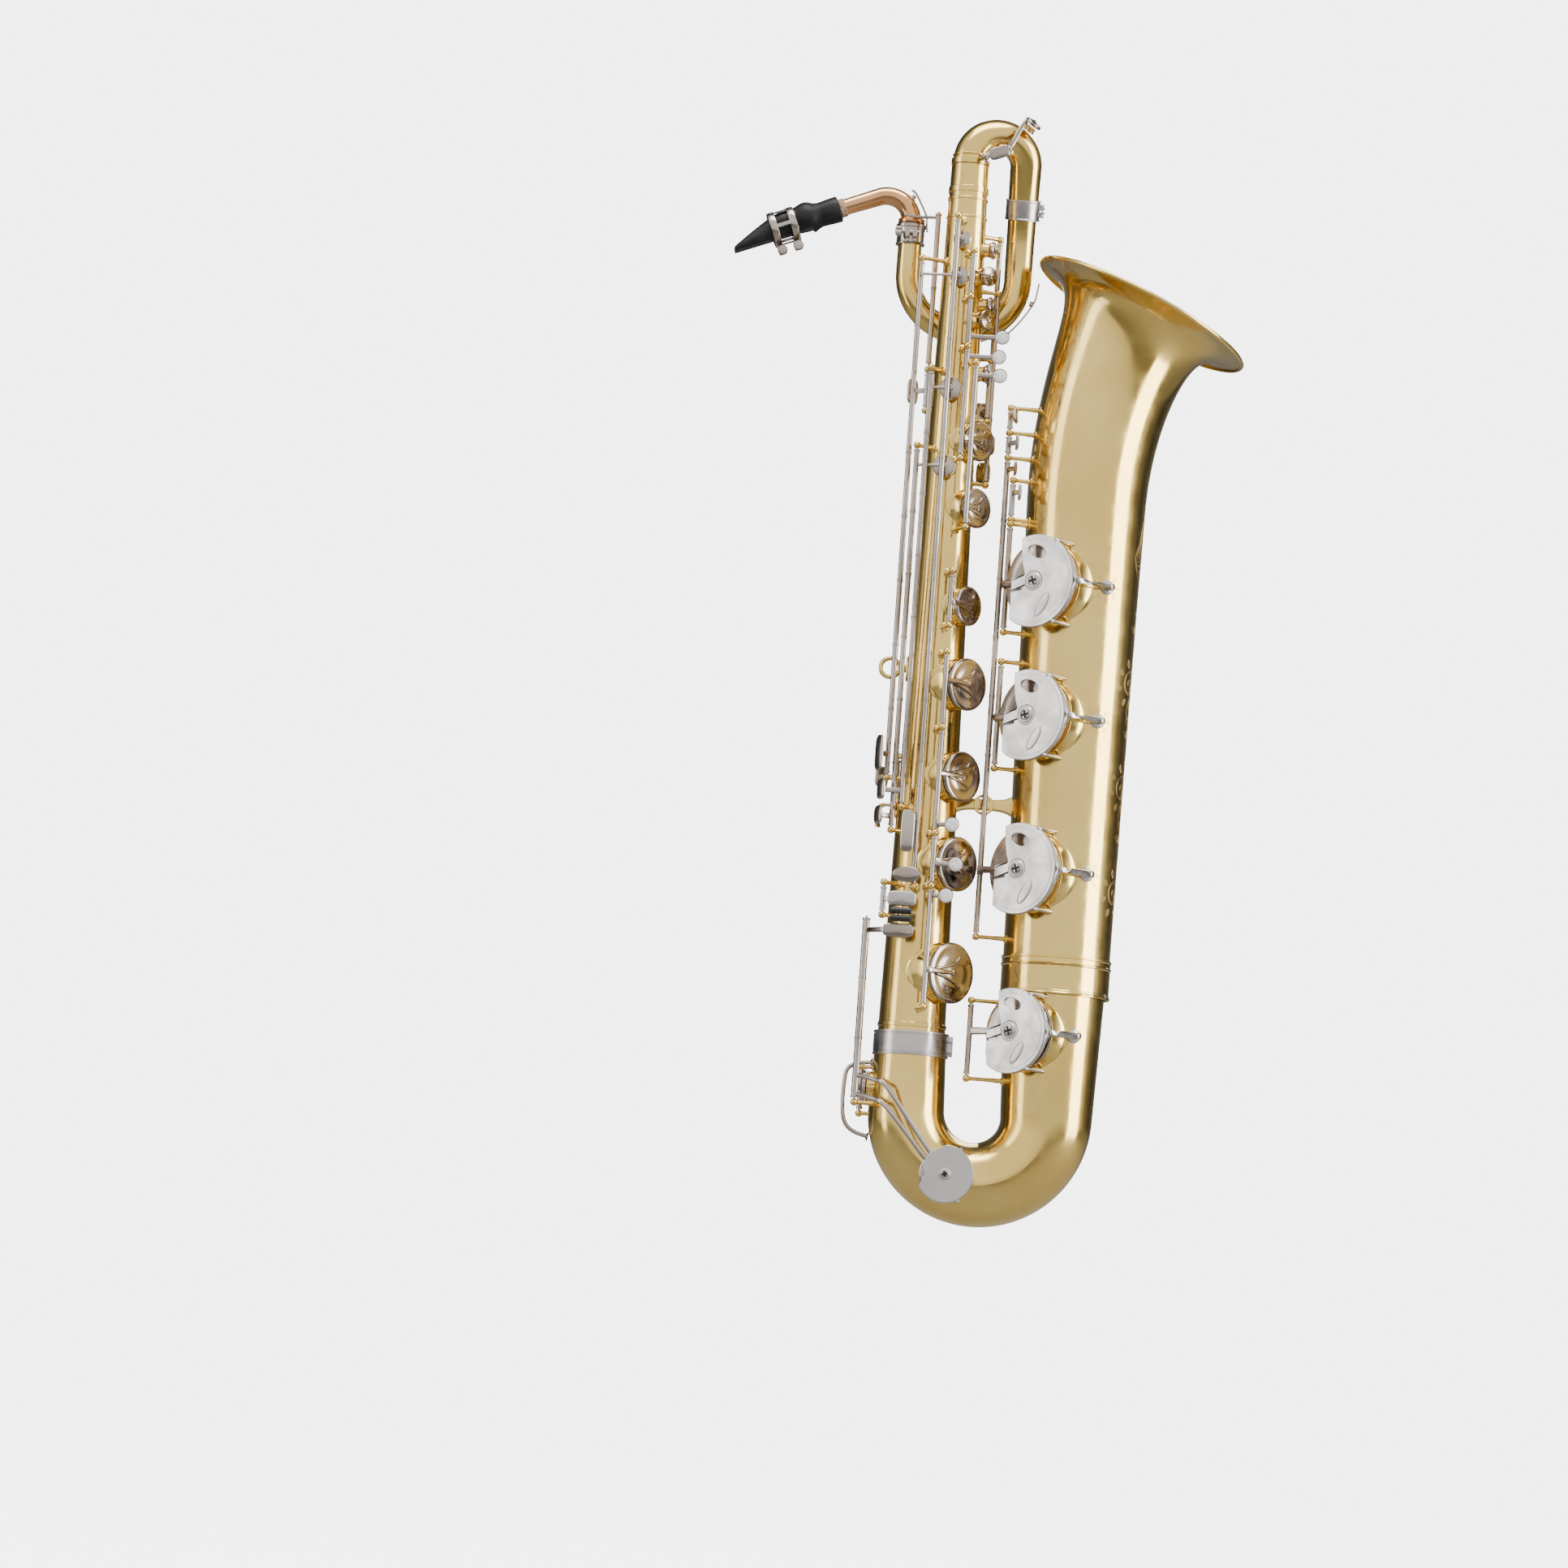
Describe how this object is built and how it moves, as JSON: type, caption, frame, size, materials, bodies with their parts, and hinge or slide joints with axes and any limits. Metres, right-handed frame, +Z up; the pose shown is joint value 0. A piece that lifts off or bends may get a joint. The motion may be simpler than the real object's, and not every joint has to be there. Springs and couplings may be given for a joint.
{
  "type": "baritone saxophone",
  "caption": "Low-A baritone saxophone with looped upper bow, flared bell, guarded bell keys, neck, cork, mouthpiece and ligature; every key turns on its own rod.",
  "frame": {"origin": "middle of the strap ring on the back of the body tube", "axes": "+Z up along the body tube, +X from the body tube towards the bell, -Y towards the player's right side"},
  "size_m": [0.4939, 0.2198, 1.0607],
  "materials": {
    "lacquer": "clear-lacquered yellow brass, polished",
    "nickel": "nickel plate, polished",
    "copper": "rose brass, lacquered",
    "cork": "natural cork, waxed",
    "ebonite": "hard rubber, satin",
    "roller": "black resin"
  },
  "bodies": {
    "root": {"bell": "lacquer", "bell_brace": "lacquer", "bell_ferrule": "lacquer", "body_clamp": "nickel", "body_tube": "lacquer", "bottom_bow": "lacquer", "guard_low_a": "nickel", "guard_low_b": "nickel", "guard_low_bflat": "nickel", "guard_low_c": "nickel", "guard_low_csharp": "nickel", "loop_clamp": "nickel", "loop_tube": "lacquer", "neck_receiver": "nickel", "strap_ring": "lacquer", "thigh_guard": "nickel", "thumb_hook": "lacquer", "thumb_rest": "ebonite", "top_bow": "lacquer"},
    "key_low_a": {"key_low_a": "nickel"},
    "key_low_bflat": {"key_low_bflat": "nickel"},
    "key_low_b": {"key_low_b": "nickel"},
    "key_low_csharp": {"key_low_csharp": "nickel"},
    "key_d": {"key_d": "nickel"},
    "key_e": {"key_e": "nickel"},
    "key_f": {"key_f": "nickel"},
    "key_fsharp": {"key_fsharp": "nickel"},
    "key_gsharp": {"key_gsharp": "nickel"},
    "key_g": {"key_g": "nickel"},
    "key_a": {"key_a": "nickel"},
    "key_c": {"key_c": "nickel"},
    "key_bis": {"key_bis": "nickel"},
    "key_side_bflat": {"key_side_bflat": "nickel"},
    "key_side_c": {"key_side_c": "nickel", "key_side_c_rod": "nickel"},
    "key_high_e": {"key_high_e": "nickel"},
    "key_high_fsharp": {"key_high_fsharp": "nickel"},
    "key_palm_d": {"key_palm_d": "nickel"},
    "key_palm_eflat": {"key_palm_eflat": "nickel"},
    "key_palm_f": {"key_palm_f": "nickel"},
    "key_low_c": {"key_low_c": "nickel"},
    "key_low_eflat": {"key_low_eflat": "nickel"},
    "touch_low_bflat": {"touch_low_bflat": "nickel"},
    "touch_low_csharp": {"touch_low_csharp": "nickel"},
    "touch_gsharp": {"touch_gsharp": "nickel"},
    "touch_low_a": {"touch_low_a": "nickel"},
    "touch_low_eflat": {"touch_low_eflat": "nickel"},
    "octave_lever": {"octave_lever": "nickel"},
    "octave_key": {"octave_key": "nickel"},
    "water_key": {"water_key": "nickel"},
    "neck": {"neck": "copper", "neck_cork": "cork"},
    "mouthpiece": {"mouthpiece": "ebonite", "ligature": "nickel"},
    "ligature_screw_front": {"ligature_screw_front": "nickel"},
    "ligature_screw_rear": {"ligature_screw_rear": "nickel"},
    "neck_screw": {"neck_screw": "nickel"},
    "roller_upper": {"roller_upper": "roller"},
    "roller_lower": {"roller_lower": "roller"}
  },
  "joints": [
    {"name": "key_low_a_hinge", "type": "hinge", "parent": "root", "child": "key_low_a", "pos_m": [0.10422, -0.019, 0.084], "axis": [0, 0, 1], "range_deg": [0, 5.5], "stiffness_Nm_per_rad": 0.4, "springref_deg": -8.59},
    {"name": "key_low_bflat_hinge", "type": "hinge", "parent": "root", "child": "key_low_bflat", "pos_m": [0.10422, -0.019, -0.043], "axis": [0, 0, 1], "range_deg": [0, 5.5], "stiffness_Nm_per_rad": 0.4, "springref_deg": -8.59},
    {"name": "key_low_b_hinge", "type": "hinge", "parent": "root", "child": "key_low_b", "pos_m": [0.09772, -0.014, -0.188], "axis": [0, 0, 1], "range_deg": [0, 5.5], "stiffness_Nm_per_rad": 0.4, "springref_deg": -8.59},
    {"name": "key_low_csharp_hinge", "type": "hinge", "parent": "root", "child": "key_low_csharp", "pos_m": [0.09772, -0.014, -0.34], "axis": [0, 0, -1], "range_deg": [0, 6], "stiffness_Nm_per_rad": 0.4, "springref_deg": -8.59},
    {"name": "key_d_hinge", "type": "hinge", "parent": "root", "child": "key_d", "pos_m": [0.05172, -0.051, -0.288], "axis": [0, 0, 1], "range_deg": [0, 6], "stiffness_Nm_per_rad": 0.4, "springref_deg": -8.59},
    {"name": "key_e_hinge", "type": "hinge", "parent": "root", "child": "key_e", "pos_m": [0.05172, -0.051, -0.185], "axis": [0, 0, 1], "range_deg": [0, 6], "stiffness_Nm_per_rad": 0.4, "springref_deg": -8.59},
    {"name": "key_f_hinge", "type": "hinge", "parent": "root", "child": "key_f", "pos_m": [0.05172, -0.051, -0.102], "axis": [0, 0, 1], "range_deg": [0, 6], "stiffness_Nm_per_rad": 0.4, "springref_deg": -8.59},
    {"name": "key_fsharp_hinge", "type": "hinge", "parent": "root", "child": "key_fsharp", "pos_m": [0.05172, -0.051, -0.014], "axis": [0, 0, 1], "range_deg": [0, 6]},
    {"name": "key_gsharp_hinge", "type": "hinge", "parent": "root", "child": "key_gsharp", "pos_m": [0.05172, -0.042, 0.061], "axis": [0, 0, -1], "range_deg": [0, 6], "stiffness_Nm_per_rad": 0.4, "springref_deg": -8.59},
    {"name": "key_g_hinge", "type": "hinge", "parent": "root", "child": "key_g", "pos_m": [0.06072, -0.045, 0.155], "axis": [0, 0, 1], "range_deg": [0, 6], "stiffness_Nm_per_rad": 0.4, "springref_deg": -8.59},
    {"name": "key_a_hinge", "type": "hinge", "parent": "root", "child": "key_a", "pos_m": [0.05172, -0.042, 0.219], "axis": [0, 0, 1], "range_deg": [0, 6], "stiffness_Nm_per_rad": 0.4, "springref_deg": -8.59},
    {"name": "key_c_hinge", "type": "hinge", "parent": "root", "child": "key_c", "pos_m": [0.05172, -0.042, 0.337], "axis": [0, 0, 1], "range_deg": [0, 8], "stiffness_Nm_per_rad": 0.4, "springref_deg": -8.59},
    {"name": "key_bis_hinge", "type": "hinge", "parent": "root", "child": "key_bis", "pos_m": [0.05172, -0.042, 0.379], "axis": [0, 0, 1], "range_deg": [0, 8]},
    {"name": "key_side_bflat_hinge", "type": "hinge", "parent": "root", "child": "key_side_bflat", "pos_m": [0.01072, -0.027, 0.192], "axis": [0, 0, -1], "range_deg": [0, 6], "stiffness_Nm_per_rad": 0.4, "springref_deg": -8.59},
    {"name": "key_side_c_hinge", "type": "hinge", "parent": "root", "child": "key_side_c", "pos_m": [0.01872, -0.0345, 0.267], "axis": [0, 0, -1], "range_deg": [0, 6], "stiffness_Nm_per_rad": 0.4, "springref_deg": -8.59},
    {"name": "key_high_e_hinge", "type": "hinge", "parent": "root", "child": "key_high_e", "pos_m": [0.00322, -0.019, 0.376], "axis": [0, 0, -1], "range_deg": [0, 6], "stiffness_Nm_per_rad": 0.4, "springref_deg": -8.59},
    {"name": "key_high_fsharp_hinge", "type": "hinge", "parent": "root", "child": "key_high_fsharp", "pos_m": [0.03472, -0.045, 0.412], "axis": [0, 0, -1], "range_deg": [0, 5], "stiffness_Nm_per_rad": 0.4, "springref_deg": -8.59},
    {"name": "key_palm_d_hinge", "type": "hinge", "parent": "root", "child": "key_palm_d", "pos_m": [0.07572, 0.005, 0.287], "axis": [0, 0, 1], "range_deg": [0, 6], "stiffness_Nm_per_rad": 0.4, "springref_deg": -8.59},
    {"name": "key_palm_eflat_hinge", "type": "hinge", "parent": "root", "child": "key_palm_eflat", "pos_m": [0.07872, 0.012, 0.353], "axis": [0, 0, 1], "range_deg": [0, 6], "stiffness_Nm_per_rad": 0.4, "springref_deg": -8.59},
    {"name": "key_palm_f_hinge", "type": "hinge", "parent": "root", "child": "key_palm_f", "pos_m": [0.07772, 0.0195, 0.407], "axis": [0, 0, 1], "range_deg": [0, 6], "stiffness_Nm_per_rad": 0.4, "springref_deg": -8.59},
    {"name": "key_low_c_hinge", "type": "hinge", "parent": "root", "child": "key_low_c", "pos_m": [-0.00628, -0.022, -0.353], "axis": [0, 0, 1], "range_deg": [0, 4], "stiffness_Nm_per_rad": 0.4, "springref_deg": -8.59},
    {"name": "key_low_eflat_hinge", "type": "hinge", "parent": "root", "child": "key_low_eflat", "pos_m": [-0.00028, 0.022, -0.399], "axis": [0, 0, -1], "range_deg": [0, 6], "stiffness_Nm_per_rad": 0.4, "springref_deg": -8.59},
    {"name": "touch_low_bflat_hinge", "type": "hinge", "parent": "root", "child": "touch_low_bflat", "pos_m": [0.10422, -0.019, 0.166], "axis": [0, 0, 1], "range_deg": [0, 5.5]},
    {"name": "touch_low_csharp_hinge", "type": "hinge", "parent": "root", "child": "touch_low_csharp", "pos_m": [0.09772, -0.014, 0.219], "axis": [0, 0, 1], "range_deg": [0, 6]},
    {"name": "touch_gsharp_hinge", "type": "hinge", "parent": "root", "child": "touch_gsharp", "pos_m": [0.09772, -0.014, 0.243], "axis": [0, 0, 1], "range_deg": [0, 6]},
    {"name": "touch_low_a_hinge", "type": "hinge", "parent": "root", "child": "touch_low_a", "pos_m": [0.01372, 0.026, -0.101], "axis": [0, 0, 1], "range_deg": [0, 5.5]},
    {"name": "touch_low_eflat_hinge", "type": "hinge", "parent": "root", "child": "touch_low_eflat", "pos_m": [0.00772, -0.032, -0.2225], "axis": [0, 0, 1], "range_deg": [0, 6]},
    {"name": "octave_lever_hinge", "type": "hinge", "parent": "root", "child": "octave_lever", "pos_m": [0.01672, 0.012, 0.271], "axis": [0, 0, 1], "range_deg": [0, 6]},
    {"name": "octave_key_hinge", "type": "hinge", "parent": "root", "child": "octave_key", "pos_m": [0.01672, 0.012, 0.347], "axis": [0, 0, 1], "range_deg": [0, 6], "stiffness_Nm_per_rad": 0.4, "springref_deg": -8.59},
    {"name": "water_key_hinge", "type": "hinge", "parent": "root", "child": "water_key", "pos_m": [0.11225, 0.038, 0.36606], "axis": [0, -1, 0], "range_deg": [0, 10], "stiffness_Nm_per_rad": 0.4, "springref_deg": -8.59},
    {"name": "neck_swivel", "type": "hinge", "parent": "root", "child": "neck", "pos_m": [-0.00828, 0.038, 0.4216], "axis": [0, 0, 1], "range_deg": [-30, 30]},
    {"name": "mouthpiece_slide", "type": "slide", "parent": "neck", "child": "mouthpiece", "axis": [-0.9336, 0, -0.3584], "range_m": [0, 0.012]},
    {"name": "ligature_screw_front_turn", "type": "hinge", "parent": "mouthpiece", "child": "ligature_screw_front", "pos_m": [-0.1303, 0.038, 0.40037], "axis": [0, 1, 0], "continuous": true},
    {"name": "ligature_screw_rear_turn", "type": "hinge", "parent": "mouthpiece", "child": "ligature_screw_rear", "pos_m": [-0.11536, 0.038, 0.4061], "axis": [0, 1, 0], "continuous": true},
    {"name": "neck_screw_turn", "type": "hinge", "parent": "root", "child": "neck_screw", "pos_m": [-0.00828, 0.02, 0.425], "axis": [1, 0, 0], "continuous": true},
    {"name": "roller_upper_spin", "type": "hinge", "parent": "touch_low_eflat", "child": "roller_upper", "pos_m": [0.02472, -0.053, -0.2347], "axis": [1, 0, 0], "continuous": true},
    {"name": "roller_lower_spin", "type": "hinge", "parent": "key_low_c", "child": "roller_lower", "pos_m": [0.02472, -0.053, -0.2417], "axis": [1, 0, 0], "continuous": true}
  ],
  "couplings": [
    {"joint": "touch_low_bflat_hinge", "follows": "key_low_bflat_hinge", "ratio": 1},
    {"joint": "touch_low_csharp_hinge", "follows": "key_low_csharp_hinge", "ratio": 1},
    {"joint": "touch_gsharp_hinge", "follows": "key_gsharp_hinge", "ratio": 1},
    {"joint": "touch_low_a_hinge", "follows": "key_low_a_hinge", "ratio": 1},
    {"joint": "touch_low_eflat_hinge", "follows": "key_low_eflat_hinge", "ratio": 1},
    {"joint": "octave_lever_hinge", "follows": "octave_key_hinge", "ratio": 1},
    {"joint": "key_fsharp_hinge", "follows": "key_f_hinge", "ratio": 1},
    {"joint": "key_bis_hinge", "follows": "key_c_hinge", "ratio": 1}
  ]
}
